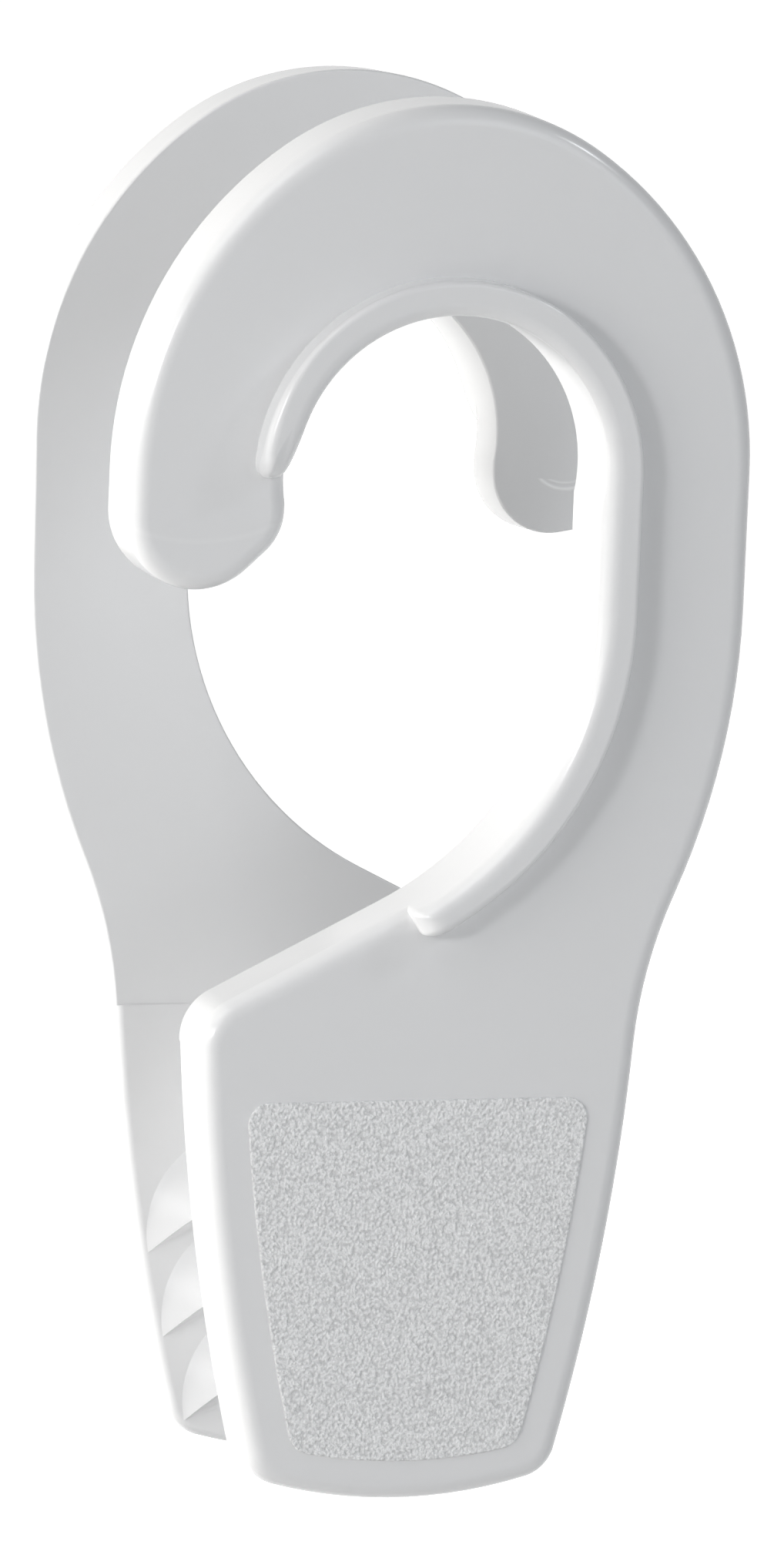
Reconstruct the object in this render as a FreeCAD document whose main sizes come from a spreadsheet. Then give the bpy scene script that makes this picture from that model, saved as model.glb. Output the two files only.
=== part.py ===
"""Twist-on fender hanger: two hooked plates on one web, moulded in one piece.

The frame: the origin is the centre of the rail seat, halfway between the
plates. X is to the right, the rail and the seats run along Y, Z is up.
The front plate is on the -Y side. The back plate is the same plate turned
half a turn about Z, so the two hooks open to opposite sides; only the end of
its hook is rounder.
"""
import FreeCAD
import Part
import Sketcher
import math
import os

# Driving dimensions, in millimetres and degrees.
DIMENSIONS = {
    # rail seat, bored along the rail, and the throat under it
    "seat_radius": 13.1,
    "throat_half_width": 12.9,
    "throat_drop": 11.0,
    "throat_radius": 27.35,
    "throat_slope": 26.7,
    # outline of the hook
    "half_width": 26.0,
    "crown_height": 29.55,
    "crown_radius": 22.0,
    "tip_outer_drop": 3.2,
    "tip_outer_radius": 6.0,
    "tip_inner_drop": 2.8,
    "tip_inner_radius": 4.6,
    "back_tip_outer_drop": 0.5,
    "back_tip_outer_radius": 7.7,
    "back_tip_inner_drop": 3.3,
    "back_tip_inner_radius": 5.0,
    "neck_radius": 37.9,
    # outline of the grip below the hook
    "waist_half_width": 18.35,
    "waist_drop": 46.5,
    "flank_lean": 3.9,
    "flank_radius": 185.0,
    "foot_drop": 83.4,
    "foot_radius": 40.0,
    "foot_corner": 3.4,
    # side view: gap, thickness and splay of the two plates
    "half_gap": 10.37,
    "plate_thickness": 6.4,
    "splay": 1.95,
    "jaw_step": 0.15,
    # rounded edges
    "edge_round": 1.6,
    "mouth_round": 0.4,
    # rim along the seat and the throat
    "relief_root": 2.0,
    "rim_width": 3.05,
    "rim_height": 2.4,
    "rim_inner_round": 1.4,
    "rim_outer_round": 0.5,
    "rim_end_round": 2.0,
    "rim_end_turn": 61.8,
    # raised thumb panel
    "panel_drop": 50.5,
    "panel_margin": 3.6,
    "panel_height": 0.2,
    "panel_round": 0.15,
    "panel_top_corner": 1.75,
    "panel_foot_drop": 80.05,
    "panel_foot_radius": 43.0,
    "panel_foot_corner": 2.0,
    # web between the plates
    "saddle_radius": 9.0,
    "saddle_drop": 55.0,
    "web_foot_radius": 6.5,
    "web_foot_drop": 75.0,
    "web_length": 9.2,
    # teeth of the four jaws
    "tooth_radius": 8.3,
    "tooth_height": 4.7,
    "tooth_bury": 0.3,
    "tooth_bearing": 12.0,
    "tooth_foot_angle": 17.7,
    "tooth_face_slope": 45.0,
    "tooth_margin": 0.6,
    "tooth_drop": 66.8,
    "tooth_pitch": 6.95,
}
TEETH_PER_JAW = 3
# Parts of the rim in the order they are rounded, each with the stretch across
# the rim, from 0 at its inner edge to 1 at its outer edge, that finds its edges.
RIM_PARTS = {"end": (0.3, 0.7), "outer": (0.7, 1.3), "inner": (-0.3, 0.3)}
SHEET = "sizes"


class Size:
    """A number together with the sheet formula that gives it."""

    def __init__(self, number, formula):
        self.number = number
        self.formula = formula

    def __float__(self):
        return float(self.number)

    def __neg__(self):
        return Size(-self.number, f"-({self.formula})")

    def __add__(self, other):
        return Size(self.number + float(other), f"({self.formula} + {formula_of(other)})")

    def __sub__(self, other):
        return Size(self.number - float(other), f"({self.formula} - {formula_of(other)})")

    def __mul__(self, other):
        return Size(self.number * float(other), f"{self.formula} * {formula_of(other)}")


def formula_of(value):
    """The sheet formula of a size, or the number itself."""
    return value.formula if isinstance(value, Size) else repr(value)


def size(alias):
    """The driving dimension with this name."""
    return Size(DIMENSIONS[alias], f"{SHEET}.{alias}")


def sine(angle):
    return Size(math.sin(math.radians(float(angle))), f"sin({angle.formula} * 1 deg)")


def cosine(angle):
    return Size(math.cos(math.radians(float(angle))), f"cos({angle.formula} * 1 deg)")


def polar(centre, radius, degrees):
    """The point at this radius and direction from a centre."""
    turn = math.radians(degrees)
    return (centre[0] + radius * math.cos(turn), centre[1] + radius * math.sin(turn))


def direction(start, end):
    """The direction from one point to another, in degrees."""
    return math.degrees(math.atan2(end[1] - start[1], end[0] - start[0]))


def circles_meet(first, first_radius, second, second_radius):
    """The lower meeting point of two circles."""
    gap = math.dist(first, second)
    along = (gap ** 2 + first_radius ** 2 - second_radius ** 2) / (2 * gap)
    across = math.sqrt(first_radius ** 2 - along ** 2)
    bearing = direction(first, second)
    middle = polar(first, along, bearing)
    ends = (polar(middle, across, bearing + 90), polar(middle, across, bearing - 90))
    return min(ends, key=lambda point: point[1])


class Outline:
    """A closed sketch of lines and arcs, joined in order and sized from the sheet."""

    START, END, CENTRE = 1, 2, 3

    def __init__(self, body, name, plane, offset=None):
        self.sketch = body.newObject("Sketcher::SketchObject", name)
        support = next(f for f in body.Origin.OriginFeatures if f.Role == plane)
        self.sketch.AttachmentSupport = [(support, "")]
        self.sketch.MapMode = "FlatFace"
        if offset is not None:
            self.sketch.setExpression(".AttachmentOffset.Base.z", offset.formula)
        self.order = []

    def line(self, start, end, helper=False):
        """Add a line. Returns its number."""
        points = [FreeCAD.Vector(*point, 0) for point in (start, end)]
        number = self.sketch.addGeometry(Part.LineSegment(*points), helper)
        if not helper:
            self.order.append((number, self.START, self.END))
        return number

    def arc(self, centre, radius, first, last, backward=False):
        """Add an arc between two directions, run through backwards on hollow corners."""
        circle = Part.Circle(FreeCAD.Vector(*centre, 0), FreeCAD.Vector(0, 0, 1), radius)
        shape = Part.ArcOfCircle(circle, math.radians(first), math.radians(last))
        number = self.sketch.addGeometry(shape, False)
        ends = (self.END, self.START) if backward else (self.START, self.END)
        self.order.append((number, *ends))
        return number

    def relate(self, kind, *references):
        """Add a geometric relation."""
        return self.sketch.addConstraint(Sketcher.Constraint(kind, *references))

    def close(self, corners=(), square=()):
        """Join each piece to the next: smoothly, or at a corner or a square corner."""
        following = self.order[1:] + self.order[:1]
        for (number, _, end), (other, start, _) in zip(self.order, following):
            if number in corners:
                kind = "Coincident"
            elif number in square:
                kind = "Perpendicular"
            else:
                kind = "Tangent"
            self.relate(kind, number, end, other, start)

    def bind(self, kind, references, value):
        """Add a dimension that follows the sheet."""
        number = float(value)
        if kind == "Angle":
            number = math.radians(number)
        index = self.sketch.addConstraint(Sketcher.Constraint(kind, *references, number))
        unit = " * 1 deg" if kind == "Angle" else ""
        self.sketch.setExpression(f"Constraints[{index}]", value.formula + unit)

    def radius(self, number, value):
        self.bind("Radius", (number,), value)

    def place(self, number, end, across=None, up=None):
        """Fix a point's distance across and up from the origin."""
        if across is not None:
            self.bind("DistanceX", (number, end), across)
        if up is not None:
            self.bind("DistanceY", (number, end), up)

    def centre_on_origin(self, number):
        self.relate("Coincident", number, self.CENTRE, -1, 1)

    def on_level(self, number, end):
        """Keep a point at the level of the seat centre."""
        self.relate("PointOnObject", number, end, -1)

    def on_middle(self, number, end):
        """Keep a point on the vertical through the seat centre."""
        self.relate("PointOnObject", number, end, -2)

    def upright(self, number):
        self.relate("Vertical", number)

    def level(self, number):
        self.relate("Horizontal", number)


def hook_outline(body, tip):
    """The hook above the waist: crown, tip, seat, throat and shank.

    tip starts the names of the tip's four sizes.
    """
    seat = size("throat_half_width")
    half_width = size("half_width")
    throat_drop = size("throat_drop")
    throat_radius = size("throat_radius")
    slope = size("throat_slope")
    crown_radius = size("crown_radius")
    crown_centre = size("crown_height") - crown_radius
    outer_radius = size(tip + "_outer_radius")
    outer_drop = size(tip + "_outer_drop")
    inner_radius = size(tip + "_inner_radius")
    inner_drop = size(tip + "_inner_drop")
    neck_radius = size("neck_radius")
    waist = size("waist_half_width")
    waist_drop = size("waist_drop")
    lean = size("flank_lean")

    width = float(half_width)
    right_waist = (float(waist), -float(waist_drop))
    left_waist = (-float(waist), -float(waist_drop))

    # neck: a hollow arc from the waist up, then a full one that ends upright
    neck = polar(right_waist, float(neck_radius), -float(lean))
    across = neck[0] - width
    rise = neck[1] + float(throat_drop)
    shank_radius = (across ** 2 + rise ** 2 - float(neck_radius) ** 2)
    shank_radius /= 2 * (float(neck_radius) - across)
    shank = (width - shank_radius, -float(throat_drop))
    neck_turn = direction(shank, neck)

    # crown and shoulders share a tangent where their centres line up
    height = float(crown_centre)
    crown = float(crown_radius)
    shoulder = (width ** 2 + height ** 2 - crown ** 2) / (2 * (width - crown))
    crown_turn = math.degrees(math.atan2(height, shoulder - width))

    # tip: two round corners and their common tangent
    outer = (float(outer_radius) - width, -float(outer_drop))
    inner = (-float(seat) - float(inner_radius), -float(inner_drop))
    ratio = (float(outer_radius) - float(inner_radius)) / math.dist(outer, inner)
    tip_turn = direction(outer, inner) - math.degrees(math.acos(ratio))

    # throat and the slanted edge that meets the grip's rounded shoulder
    throat = (float(seat) - float(throat_radius), -float(throat_drop))
    throat_end = polar(throat, float(throat_radius), float(slope) - 90)
    run = (left_waist[0] - throat_end[0], left_waist[1] - throat_end[1])
    tilt = math.radians(float(slope))
    below = run[0] * math.sin(tilt) - run[1] * math.cos(tilt)
    corner_radius = below / (1 - math.cos(math.radians(90 + float(lean) - float(slope))))
    corner = polar(left_waist, corner_radius, float(lean))

    outline = Outline(body, "hook_outline", "XZ_Plane")
    start, end, centre = outline.START, outline.END, outline.CENTRE
    neck_arc = outline.arc(neck, float(neck_radius), neck_turn + 180, 180 - float(lean), True)
    outline.arc(shank, shank_radius, neck_turn, 0)
    shank_line = outline.line((width, -float(throat_drop)), (width, 0))
    right_shoulder = outline.arc((width - shoulder, 0), shoulder, 0, crown_turn)
    crown_arc = outline.arc((0, height), crown, crown_turn, 180 - crown_turn)
    left_shoulder = outline.arc((shoulder - width, 0), shoulder, 180 - crown_turn, 180)
    tip_line = outline.line((-width, 0), (-width, outer[1]))
    outer_arc = outline.arc(outer, float(outer_radius), 180, tip_turn + 360)
    outline.line(polar(outer, float(outer_radius), tip_turn), polar(inner, float(inner_radius), tip_turn))
    inner_arc = outline.arc(inner, float(inner_radius), tip_turn, 0)
    inner_line = outline.line((-float(seat), inner[1]), (-float(seat), 0))
    seat_arc = outline.arc((0, 0), float(seat), 0, 180, True)
    throat_line = outline.line((float(seat), 0), (float(seat), throat[1]))
    throat_arc = outline.arc(throat, float(throat_radius), float(slope) - 90, 0, True)
    slant = outline.line(throat_end, polar(corner, corner_radius, 90 + float(slope)))
    corner_arc = outline.arc(corner, corner_radius, 90 + float(slope), 180 + float(lean))
    waist_line = outline.line(left_waist, right_waist)
    outline.close(corners=(corner_arc, waist_line))

    outline.centre_on_origin(seat_arc)
    outline.radius(seat_arc, seat)
    for upright in (shank_line, tip_line, inner_line, throat_line):
        outline.upright(upright)
    outline.place(throat_line, end, up=-throat_drop)
    outline.radius(throat_arc, throat_radius)
    outline.bind("Angle", (slant,), slope - 180.0)
    outline.place(inner_line, start, up=-inner_drop)
    outline.radius(inner_arc, inner_radius)
    outline.radius(outer_arc, outer_radius)
    outline.place(tip_line, end, across=-half_width, up=-outer_drop)
    outline.on_level(left_shoulder, centre)
    outline.on_level(right_shoulder, centre)
    outline.on_middle(crown_arc, centre)
    outline.place(crown_arc, centre, up=crown_centre)
    outline.radius(crown_arc, crown_radius)
    outline.place(shank_line, start, across=half_width, up=-throat_drop)
    outline.radius(neck_arc, neck_radius)
    outline.place(neck_arc, centre, up=-(waist_drop + neck_radius * sine(lean)))
    outline.level(waist_line)
    outline.place(waist_line, start, across=-waist)
    outline.place(waist_line, end, across=waist, up=-waist_drop)
    spoke = outline.line(left_waist, corner, helper=True)
    outline.relate("Coincident", spoke, start, corner_arc, end)
    outline.relate("Coincident", spoke, end, corner_arc, centre)
    outline.bind("Angle", (spoke,), lean)
    return outline.sketch


def flank_centre():
    """Centre of the right flank's arc, across and up."""
    lean = size("flank_lean")
    radius = size("flank_radius")
    return size("waist_half_width") - radius * cosine(lean), radius * sine(lean) - size("waist_drop")


def grip_centres():
    """Centres of the right flank, of the foot's arc and of the right corner between them."""
    side = tuple(float(value) for value in flank_centre())
    foot = (0.0, DIMENSIONS["foot_radius"] - DIMENSIONS["foot_drop"])
    round_off = DIMENSIONS["foot_corner"]
    side_radius = DIMENSIONS["flank_radius"] - round_off
    return side, foot, circles_meet(side, side_radius, foot, DIMENSIONS["foot_radius"] - round_off)


def jaw_edge(level):
    """How far the grip's edge is from the middle at one level."""
    side, _, corner = grip_centres()
    centre, radius = side, DIMENSIONS["flank_radius"]
    if level < polar(side, radius, direction(side, corner))[1]:
        centre, radius = corner, DIMENSIONS["foot_corner"]
    return centre[0] + math.sqrt(radius ** 2 - (level - centre[1]) ** 2)


def grip_outline(body):
    """The grip below the waist: leaning flanks, round corners and a curved foot."""
    lean = float(size("flank_lean"))
    waist = size("waist_half_width")
    waist_drop = size("waist_drop")
    flank_radius = size("flank_radius")
    foot_radius = size("foot_radius")
    foot_centre = foot_radius - size("foot_drop")
    corner_radius = size("foot_corner")
    flank = flank_centre()

    side, foot, corner = grip_centres()
    round_off = float(corner_radius)
    flank_turn = direction(side, corner)
    foot_turn = direction(foot, corner)

    outline = Outline(body, "grip_outline", "XZ_Plane", -size("jaw_step"))
    start, end, centre = outline.START, outline.END, outline.CENTRE
    top = outline.line((float(waist), -float(waist_drop)), (-float(waist), -float(waist_drop)))
    left = outline.arc((-side[0], side[1]), float(flank_radius), 180 + lean, 180 - flank_turn)
    left_corner = outline.arc((-corner[0], corner[1]), round_off, 180 - flank_turn, 180 - foot_turn)
    foot_arc = outline.arc(foot, float(foot_radius), 180 - foot_turn, 360 + foot_turn)
    right_corner = outline.arc(corner, round_off, foot_turn, flank_turn)
    right = outline.arc(side, float(flank_radius), flank_turn, -lean)
    outline.close(corners=(top, right))

    outline.level(top)
    outline.place(top, start, across=waist, up=-waist_drop)
    outline.place(top, end, across=-waist)
    for number in (left, right):
        outline.radius(number, flank_radius)
        outline.place(number, centre, up=flank[1])
    outline.on_middle(foot_arc, centre)
    outline.place(foot_arc, centre, up=foot_centre)
    outline.radius(foot_arc, foot_radius)
    outline.radius(left_corner, corner_radius)
    outline.radius(right_corner, corner_radius)
    return outline.sketch


def panel_outline(body):
    """The thumb panel: its sides follow the grip's flanks at an even margin."""
    side_radius = size("flank_radius") - size("panel_margin")
    foot_radius = size("panel_foot_radius")
    foot_centre = foot_radius - size("panel_foot_drop")
    top_corner = size("panel_top_corner")
    foot_corner = size("panel_foot_corner")
    drop = size("panel_drop")
    flank = flank_centre()

    side = (float(flank[0]), float(flank[1]))
    foot = (0.0, float(foot_centre))
    low_radius = float(foot_corner)
    low = circles_meet(side, float(side_radius) - low_radius, foot, float(foot_radius) - low_radius)
    low_turn = direction(side, low)
    foot_turn = direction(foot, low)
    high_radius = float(top_corner)
    high_level = -float(drop) - high_radius
    reach = math.sqrt((float(side_radius) - high_radius) ** 2 - (high_level - side[1]) ** 2)
    high = (side[0] + reach, high_level)
    high_turn = direction(side, high)

    outline = Outline(body, "panel_outline", "XZ_Plane", size("relief_root"))
    centre = outline.CENTRE
    top = outline.line((high[0], -float(drop)), (-high[0], -float(drop)))
    pieces = [
        outline.arc((-high[0], high[1]), high_radius, 90, 180 - high_turn),
        outline.arc((-side[0], side[1]), float(side_radius), 180 - high_turn, 180 - low_turn),
        outline.arc((-low[0], low[1]), low_radius, 180 - low_turn, 180 - foot_turn),
        outline.arc(foot, float(foot_radius), 180 - foot_turn, 360 + foot_turn),
        outline.arc(low, low_radius, foot_turn, low_turn),
        outline.arc(side, float(side_radius), low_turn, high_turn),
        outline.arc(high, high_radius, high_turn, 90),
    ]
    outline.close()

    outline.level(top)
    outline.place(top, outline.START, up=-drop)
    radii = (top_corner, side_radius, foot_corner, foot_radius, foot_corner, side_radius, top_corner)
    for number, radius in zip(pieces, radii):
        outline.radius(number, radius)
    outline.place(pieces[1], centre, across=-flank[0], up=flank[1])
    outline.place(pieces[5], centre, across=flank[0], up=flank[1])
    outline.on_middle(pieces[3], centre)
    outline.place(pieces[3], centre, up=foot_centre)
    return outline.sketch


def rim_outline(body):
    """The rim: a band of even width on the edge of the seat and the throat."""
    seat = size("throat_half_width")
    width = size("rim_width")
    throat_drop = size("throat_drop")
    throat_radius = size("throat_radius")
    end_turn = -size("rim_end_turn")

    inside = float(seat)
    outside = inside + float(width)
    turn = float(end_turn)
    throat = throat_centre()
    throat_outside = float(throat_radius) + float(width)
    end_inside = polar(throat, float(throat_radius), turn)

    outline = Outline(body, "rim_outline", "XZ_Plane", size("relief_root"))
    start, end = outline.START, outline.END
    throat_out = outline.arc(throat, throat_outside, turn, 0)
    line_out = outline.line((outside, throat[1]), (outside, 0))
    seat_out = outline.arc((0, 0), outside, 0, 180)
    first_end = outline.line((-outside, 0), (-inside, 0))
    seat_in = outline.arc((0, 0), inside, 0, 180, True)
    line_in = outline.line((inside, 0), (inside, throat[1]))
    throat_in = outline.arc(throat, float(throat_radius), turn, 0, True)
    last_end = outline.line(end_inside, polar(throat, throat_outside, turn))
    outline.close(corners=(seat_out, first_end, last_end), square=(throat_in,))

    for number, radius in ((seat_in, seat), (seat_out, seat + width)):
        outline.centre_on_origin(number)
        outline.radius(number, radius)
    outline.upright(line_in)
    outline.place(line_in, end, up=-throat_drop)
    outline.radius(throat_in, throat_radius)
    outline.upright(line_out)
    outline.place(line_out, start, up=-throat_drop)
    outline.radius(throat_out, throat_radius + width)
    outline.level(first_end)
    outline.on_level(first_end, end)
    outline.bind("Angle", (last_end,), end_turn)
    return outline.sketch


def throat_centre():
    """Centre of the throat's arc, across and up."""
    return (DIMENSIONS["throat_half_width"] - DIMENSIONS["throat_radius"], -DIMENSIONS["throat_drop"])


def across_rim(point):
    """Where a point of the rim is between its inner edge, 0, and its outer edge, 1."""
    throat = throat_centre()
    if point.z > 0:
        reach = math.hypot(point.x, point.z)
    elif point.z > throat[1]:
        reach = point.x
    else:
        reach = throat[0] + math.hypot(point.x - throat[0], point.z - throat[1])
    return (reach - DIMENSIONS["throat_half_width"]) / DIMENSIONS["rim_width"]


def web_outline(body):
    """The web: a round saddle at the top, sides that draw in, a smaller round foot."""
    top_radius = size("saddle_radius")
    top_drop = size("saddle_drop")
    foot_radius = size("web_foot_radius")
    foot_drop = size("web_foot_drop")

    top = (0, -float(top_drop))
    foot = (0, -float(foot_drop))
    taper = (float(top_radius) - float(foot_radius)) / (top[1] - foot[1])
    lean = math.degrees(math.asin(taper))

    outline = Outline(body, "web_outline", "XZ_Plane")
    centre = outline.CENTRE
    top_arc = outline.arc(top, float(top_radius), -lean, 180 + lean)
    outline.line(polar(top, float(top_radius), 180 + lean), polar(foot, float(foot_radius), 180 + lean))
    foot_arc = outline.arc(foot, float(foot_radius), 180 + lean, 360 - lean)
    outline.line(polar(foot, float(foot_radius), -lean), polar(top, float(top_radius), -lean))
    outline.close()
    for number, radius, drop in ((top_arc, top_radius, top_drop), (foot_arc, foot_radius, foot_drop)):
        outline.on_middle(number, centre)
        outline.place(number, centre, up=-drop)
        outline.radius(number, radius)
    return outline.sketch


def pad(body, name, sketch, length, reverse=False):
    """Raise a profile outwards, or reversed into the gap."""
    feature = body.newObject("PartDesign::Pad", name)
    feature.Profile = sketch
    feature.setExpression("Length", length.formula)
    feature.Reversed = reverse
    feature.Refine = True
    body.Document.recompute()
    return feature


def round_edges(body, name, edges, radius):
    """Round the named edges of the newest feature."""
    base = body.Tip
    feature = body.newObject("PartDesign::Fillet", name)
    feature.Base = (base, edges)
    feature.setExpression("Radius", radius.formula)
    body.Document.recompute()
    return feature


def edges_at(shape, depth, chosen=lambda middle: True):
    """Names of the edges that lie flat at one depth and whose middle point is chosen."""
    names = []
    for number, edge in enumerate(shape.Edges, 1):
        first, last = edge.ParameterRange
        points = [edge.valueAt(first + share * (last - first)) for share in (0, 0.5, 1)]
        flat = all(abs(point.y + float(depth)) < 1e-5 for point in points)
        if flat and chosen(points[1]):
            names.append(f"Edge{number}")
    return names


def make_sheet(document):
    """The sheet with one row for each driving dimension: name, then value."""
    sheet = document.addObject("Spreadsheet::Sheet", SHEET)
    for row, (alias, value) in enumerate(DIMENSIONS.items(), 1):
        sheet.set(f"A{row}", alias)
        sheet.set(f"B{row}", str(value))
        sheet.setAlias(f"B{row}", alias)
    document.recompute()
    return sheet


def plate_placement(turn):
    """Where a plate goes: out from the middle, leant out by the splay, then turned about Z.

    It leans about the line through the middle of its seat's depth, so the seat
    stays level with the origin.
    """
    depth = (DIMENSIONS["plate_thickness"] + DIMENSIONS["rim_height"]) / 2
    to_depth = FreeCAD.Placement(FreeCAD.Vector(0, depth, 0), FreeCAD.Rotation())
    leaning = FreeCAD.Rotation(FreeCAD.Vector(1, 0, 0), DIMENSIONS["splay"])
    out = FreeCAD.Placement(FreeCAD.Vector(0, -DIMENSIONS["half_gap"] - depth, 0), leaning)
    about_z = FreeCAD.Rotation(FreeCAD.Vector(0, 0, 1), turn)
    return FreeCAD.Placement(FreeCAD.Vector(), about_z) * out * to_depth


def make_plate(document, name, tip, turn):
    """One hooked plate with its half of the web.

    tip starts the names of the hook's tip sizes, and turn is about Z.
    It is drawn upright with its inner face at Y = 0, and its placement then
    leans it out. What would reach past the middle of the gap is cut off.
    """
    body = document.addObject("PartDesign::Body", name)
    thickness = size("plate_thickness")
    step = size("jaw_step")
    root = size("relief_root")
    panel_top = thickness + size("panel_height")
    below_waist = -DIMENSIONS["waist_drop"] - DIMENSIONS["mouth_round"]

    pad(body, name + "_grip", grip_outline(body), thickness + step)
    mouth = edges_at(body.Shape, -step, lambda middle: middle.z < below_waist)
    round_edges(body, name + "_mouth", mouth, size("mouth_round"))
    pad(body, name + "_hook", hook_outline(body, tip), thickness)
    round_edges(body, name + "_edge", edges_at(body.Shape, thickness), size("edge_round"))
    pad(body, name + "_panel", panel_outline(body), panel_top - root)
    round_edges(body, name + "_panel_edge", edges_at(body.Shape, panel_top), size("panel_round"))
    pad(body, name + "_web", web_outline(body), size("web_length"), reverse=True)
    body.Placement = plate_placement(turn)

    beyond = document.addObject("Part::Box", name + "_beyond")
    width = DIMENSIONS["half_width"] * 2
    for side in ("Length", "Width"):
        beyond.setExpression(side, f"{SHEET}.half_width * 4")
    beyond.setExpression("Height", f"{SHEET}.foot_drop * 3")
    corner = FreeCAD.Vector(-width, 0, -DIMENSIONS["foot_drop"] * 2)
    about_z = FreeCAD.Placement(FreeCAD.Vector(), FreeCAD.Rotation(FreeCAD.Vector(0, 0, 1), turn))
    beyond.Placement = about_z * FreeCAD.Placement(corner, FreeCAD.Rotation())
    plate = document.addObject("Part::Cut", name + "_plate")
    plate.Base = body
    plate.Tool = beyond
    return plate


def make_rim(document, name, turn):
    """The rim of one plate, from inside the plate up to its rounded top."""
    body = document.addObject("PartDesign::Body", name)
    top = size("plate_thickness") + size("rim_height")
    pad(body, name + "_band", rim_outline(body), top - size("relief_root"))
    for part, (low, high) in RIM_PARTS.items():
        edges = edges_at(body.Shape, top, lambda middle: low < across_rim(middle) < high)
        round_edges(body, f"{name}_{part}", edges, size(f"rim_{part}_round"))
    body.Placement = plate_placement(turn)
    return body


def make_bore(document):
    """The rail's room: both seats are bored in one line, along Y."""
    bore = document.addObject("Part::Cylinder", "bore")
    bore.setExpression("Radius", f"{SHEET}.seat_radius")
    bore.setExpression("Height", f"{SHEET}.half_width * 2")
    start = FreeCAD.Vector(0, DIMENSIONS["half_width"], 0)
    bore.Placement = FreeCAD.Placement(start, FreeCAD.Rotation(FreeCAD.Vector(1, 0, 0), 90))
    return bore


def make_tooth(document, name, side, number, turn):
    """One tooth: a cone on a round base sunk into the jaw, cut off below by a sloping face.

    side is -1 or +1 for the left or right jaw, as a plate is drawn, and turn
    puts the tooth on the front or the back plate.
    """
    radius = DIMENSIONS["tooth_radius"]
    inward = FreeCAD.Vector(-side, 0, 0)
    up = FreeCAD.Vector(0, 0, 1)
    out = FreeCAD.Vector(0, 1, 0)

    level = -DIMENSIONS["tooth_drop"] - number * DIMENSIONS["tooth_pitch"]
    across = side * (jaw_edge(level) - DIMENSIONS["tooth_margin"])
    point = FreeCAD.Vector(across, DIMENSIONS["jaw_step"], level)

    def along(degrees):
        """A direction in the jaw's face, measured from inward towards up."""
        return inward * math.cos(math.radians(degrees)) + up * math.sin(math.radians(degrees))

    slope = math.radians(DIMENSIONS["tooth_face_slope"])
    rise = along(DIMENSIONS["tooth_foot_angle"] + 90)
    face = rise * math.cos(slope) + out * math.sin(slope)
    away = out * math.cos(slope) - rise * math.sin(slope)
    foot = face.cross(away)
    plate = plate_placement(turn)

    centre = point + along(DIMENSIONS["tooth_bearing"]) * radius
    rotation = FreeCAD.Rotation(-rise, foot, out, "ZXY")
    cone = document.addObject("Part::Cone", name + "_cone")
    cone.setExpression("Radius1", f"{SHEET}.tooth_radius")
    cone.Radius2 = 0
    cone.setExpression("Height", f"{SHEET}.tooth_height")
    cone.Placement = plate * FreeCAD.Placement(centre, rotation)
    base = document.addObject("Part::Cylinder", name + "_base")
    base.setExpression("Radius", f"{SHEET}.tooth_radius")
    base.setExpression("Height", f"{SHEET}.tooth_bury")
    base.Placement = plate * FreeCAD.Placement(centre - out * DIMENSIONS["tooth_bury"], rotation)
    whole = document.addObject("Part::MultiFuse", name + "_whole")
    whole.Shapes = [cone, base]

    cutter = document.addObject("Part::Box", name + "_cutter")
    cutter.setExpression("Length", f"{SHEET}.tooth_radius * 6")
    cutter.setExpression("Width", f"{SHEET}.tooth_radius * 4")
    cutter.setExpression("Height", f"{SHEET}.tooth_radius * 3")
    corner = point - foot * (radius * 3) - face * (radius * 2)
    cutter.Placement = plate * FreeCAD.Placement(corner, FreeCAD.Rotation(foot, face, away, "ZXY"))

    tooth = document.addObject("Part::Cut", name)
    tooth.Base = whole
    tooth.Tool = cutter
    return tooth


def make_teeth(document):
    """Three teeth in each of the four jaws."""
    teeth = []
    for plate, turn in (("front", 0), ("back", 180)):
        for jaw, side in (("left", -1), ("right", 1)):
            for number in range(TEETH_PER_JAW):
                name = f"tooth_{plate}_{jaw}_{number + 1}"
                teeth.append(make_tooth(document, name, side, number, turn))
    return teeth


def check(document):
    """Stop if any object of the document failed."""
    for item in document.Objects:
        if "Invalid" in item.State or "Error" in item.State:
            raise RuntimeError(f"{item.Name} failed: {item.State}")


def main():
    document = FreeCAD.newDocument("fender_hanger")
    make_sheet(document)
    plates = document.addObject("Part::MultiFuse", "plates")
    front = make_plate(document, "front", "tip", 0)
    back = make_plate(document, "back", "back_tip", 180)
    rims = [make_rim(document, "front_rim", 0), make_rim(document, "back_rim", 180)]
    plates.Shapes = [front, back] + rims
    plates.Refine = True
    frame = document.addObject("Part::Cut", "frame")
    frame.Base = plates
    frame.Tool = make_bore(document)
    hanger = document.addObject("Part::MultiFuse", "hanger")
    hanger.Shapes = [frame] + make_teeth(document)
    hanger.Refine = True
    hanger.Label = "hanger"
    document.recompute()
    check(document)
    shape = hanger.Shape
    if shape.isNull() or not shape.isValid() or len(shape.Solids) != 1:
        raise RuntimeError("the hanger is not one valid solid")
    box = shape.optimalBoundingBox(False)
    print(f"hanger {box.XLength:.2f} x {box.YLength:.2f} x {box.ZLength:.2f} mm, {shape.Volume:.0f} mm3")
    os.makedirs("parts", exist_ok=True)
    shape.exportStep("parts/hanger.step")


main()
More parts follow.
